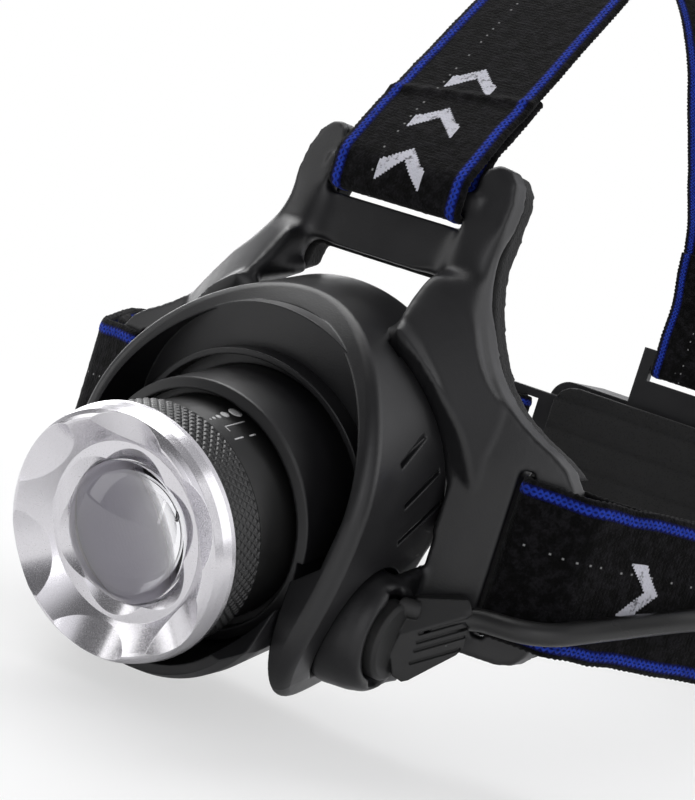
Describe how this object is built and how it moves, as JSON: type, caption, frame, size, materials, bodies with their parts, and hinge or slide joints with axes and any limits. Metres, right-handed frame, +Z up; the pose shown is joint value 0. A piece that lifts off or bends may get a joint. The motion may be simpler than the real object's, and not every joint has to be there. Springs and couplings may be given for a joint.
{
  "type": "headlamp",
  "caption": "Head-worn lamp: focusing lens barrel in a hooded tilting housing on a forehead bracket, elastic side and top straps, and a rear battery box joined by a cable.",
  "frame": {"origin": "centre of the headband loop, level with the middle of the side straps", "axes": "+Z up through the crown of the head, -Y the way the lamp faces, +X towards the wearer's left, where the cable runs"},
  "size_m": [0.1677, 0.2852, 0.1671],
  "materials": {
    "bezel_alloy": "satin machined with bright edges",
    "lens_clear": "clear polished",
    "gasket_rubber": "matte",
    "sleeve_anodised": "black anodised, satin",
    "housing_plastic": "fine moulded texture",
    "core_alloy": "turned",
    "inner_nylon": "natural nylon",
    "board_alloy": "white solder mask",
    "led_phosphor": "phosphor yellow",
    "screw_steel": "bright",
    "circuit_board": "green solder mask",
    "coil_copper": "enamelled copper wire",
    "pad_rubber": "matte cushion",
    "cable_jacket": "smooth, slightly glossy",
    "boot_rubber": "matte",
    "strap_elastic": "knitted elastic with blue zigzag lines and a pale woven pattern",
    "slider_plastic": "smooth",
    "keeper_rubber": "matte",
    "cell_wrap": "shrink sleeve",
    "contact_nickel": "nickel plated",
    "button_rubber": "matte",
    "indicator_clear": "milky clear"
  },
  "bodies": {
    "head_frame": {"pivot_cap_right": "housing_plastic", "bracket_frame": "housing_plastic", "forehead_pad": "pad_rubber", "lamp_cable": "cable_jacket", "cable_boot": "boot_rubber", "side_strap_left": "strap_elastic", "side_strap_right": "strap_elastic", "top_strap": "strap_elastic", "strap_slider_right": "slider_plastic", "strap_slider_top": "slider_plastic", "cable_keeper_front": "keeper_rubber", "cable_keeper_rear": "keeper_rubber", "battery_case": "housing_plastic", "door_pin": "screw_steel", "case_gasket": "gasket_rubber", "cell_upper": "cell_wrap", "cell_lower": "cell_wrap", "contact_plates": "contact_nickel", "contact_bridge": "contact_nickel", "switch_board": "circuit_board", "switch_body": "inner_nylon", "indicator_window": "indicator_clear", "charge_socket": "contact_nickel", "charge_cover": "keeper_rubber", "cable_gland": "boot_rubber", "rear_pad": "pad_rubber"},
    "lamp_unit": {"front_tube": "housing_plastic", "lamp_hood": "housing_plastic", "barrel_collar": "housing_plastic", "lower_cowl": "housing_plastic", "heat_sink_core": "core_alloy", "core_guide_ring": "inner_nylon", "led_board": "board_alloy", "led_emitter": "led_phosphor", "led_retainer": "inner_nylon", "board_screw_left": "screw_steel", "board_screw_right": "screw_steel", "driver_board": "circuit_board", "driver_coil": "coil_copper", "hood_back_cover": "housing_plastic", "cover_screw_left": "screw_steel", "cover_screw_right": "screw_steel", "pivot_bush_left": "inner_nylon", "pivot_pin_right": "screw_steel"},
    "zoom_head": {"bezel_ring": "bezel_alloy", "focus_lens": "lens_clear", "lens_gasket": "gasket_rubber", "lens_retainer": "bezel_alloy", "zoom_sleeve": "sleeve_anodised", "sleeve_stop_ring": "sleeve_anodised"},
    "battery_door": {"battery_door": "housing_plastic", "door_latch": "slider_plastic"},
    "power_button": {"power_button": "button_rubber"}
  },
  "joints": [
    {"name": "lamp_tilt", "type": "hinge", "parent": "head_frame", "child": "lamp_unit", "pos_m": [0, -0.11345, -0.01842], "axis": [1, 0, 0], "range_deg": [0, 60]},
    {"name": "zoom_slide", "type": "slide", "parent": "lamp_unit", "child": "zoom_head", "axis": [0, 0.9744, 0.225], "range_m": [0, 0.008]},
    {"name": "door_hinge", "type": "hinge", "parent": "head_frame", "child": "battery_door", "pos_m": [0, 0.1202, -0.0242], "axis": [1, 0, 0], "range_deg": [-100, 0]},
    {"name": "button_press", "type": "slide", "parent": "head_frame", "child": "power_button", "axis": [-1, 0, 0], "range_m": [0, 0.001], "stiffness_N_per_m": 1500, "springref_m": -0.0004}
  ]
}
